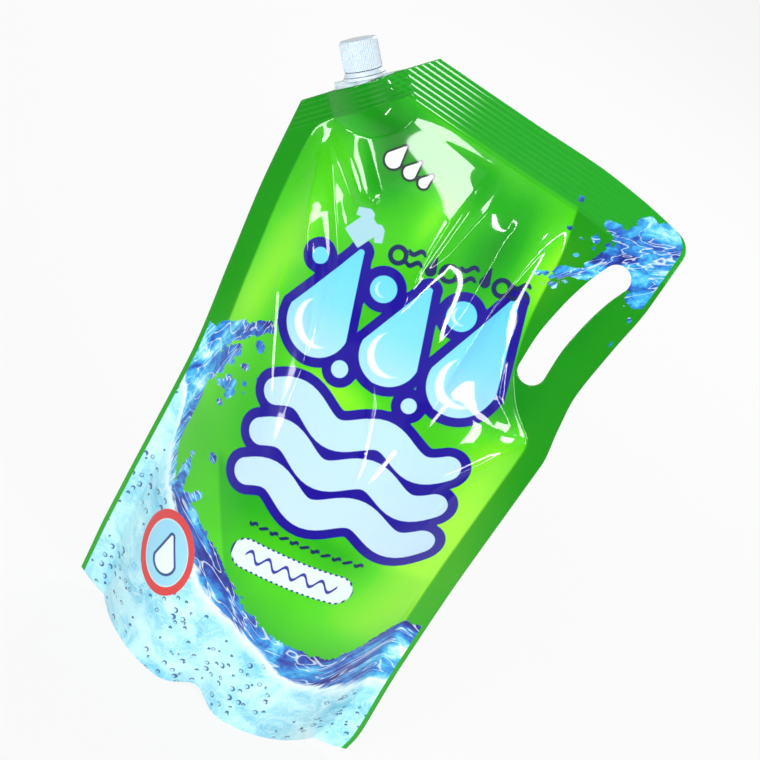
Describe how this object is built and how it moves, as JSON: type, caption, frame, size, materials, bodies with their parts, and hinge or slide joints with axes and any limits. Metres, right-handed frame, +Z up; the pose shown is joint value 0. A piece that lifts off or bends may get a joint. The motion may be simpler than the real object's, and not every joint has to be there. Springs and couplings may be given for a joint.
{
  "type": "detergent refill pouch",
  "caption": "Stand-up film refill pouch for liquid detergent with a carrying slot, sealed edges and a corner spout closed by a screw cap.",
  "frame": {"origin": "centre of the flat middle of the base, on the surface that the pouch stands on", "axes": "+Z up along the height, +X along the width towards the carrying slot, front print faces -Y"},
  "size_m": [0.2206, 0.0879, 0.364],
  "materials": {
    "printed_film": "glossy printed laminate film, green over a pale water-blue foot",
    "spout_plastic": "smooth moulded white polyethylene",
    "ring_plastic": "smooth moulded white polyethylene",
    "liner_foam": "matt foamed sealing disc",
    "cap_plastic": "finely ribbed moulded white polypropylene"
  },
  "bodies": {
    "pack": {"pouch": "printed_film", "spout": "spout_plastic", "tamper_ring": "ring_plastic"},
    "liner": {"cap_liner": "liner_foam"},
    "cap": {"screw_cap": "cap_plastic"}
  },
  "joints": [
    {"name": "cap_lift", "type": "slide", "parent": "pack", "child": "liner", "axis": [-0.6963, 0.0506, 0.7159], "range_m": [0, 0.0181]},
    {"name": "cap_turn", "type": "hinge", "parent": "liner", "child": "cap", "pos_m": [-0.10639, 0.01561, 0.33104], "axis": [-0.6963, 0.0506, 0.7159], "range_deg": [0, 1080]}
  ],
  "couplings": [
    {"joint": "cap_lift", "follows": "cap_turn", "m_per_rad": 0.00095493}
  ]
}
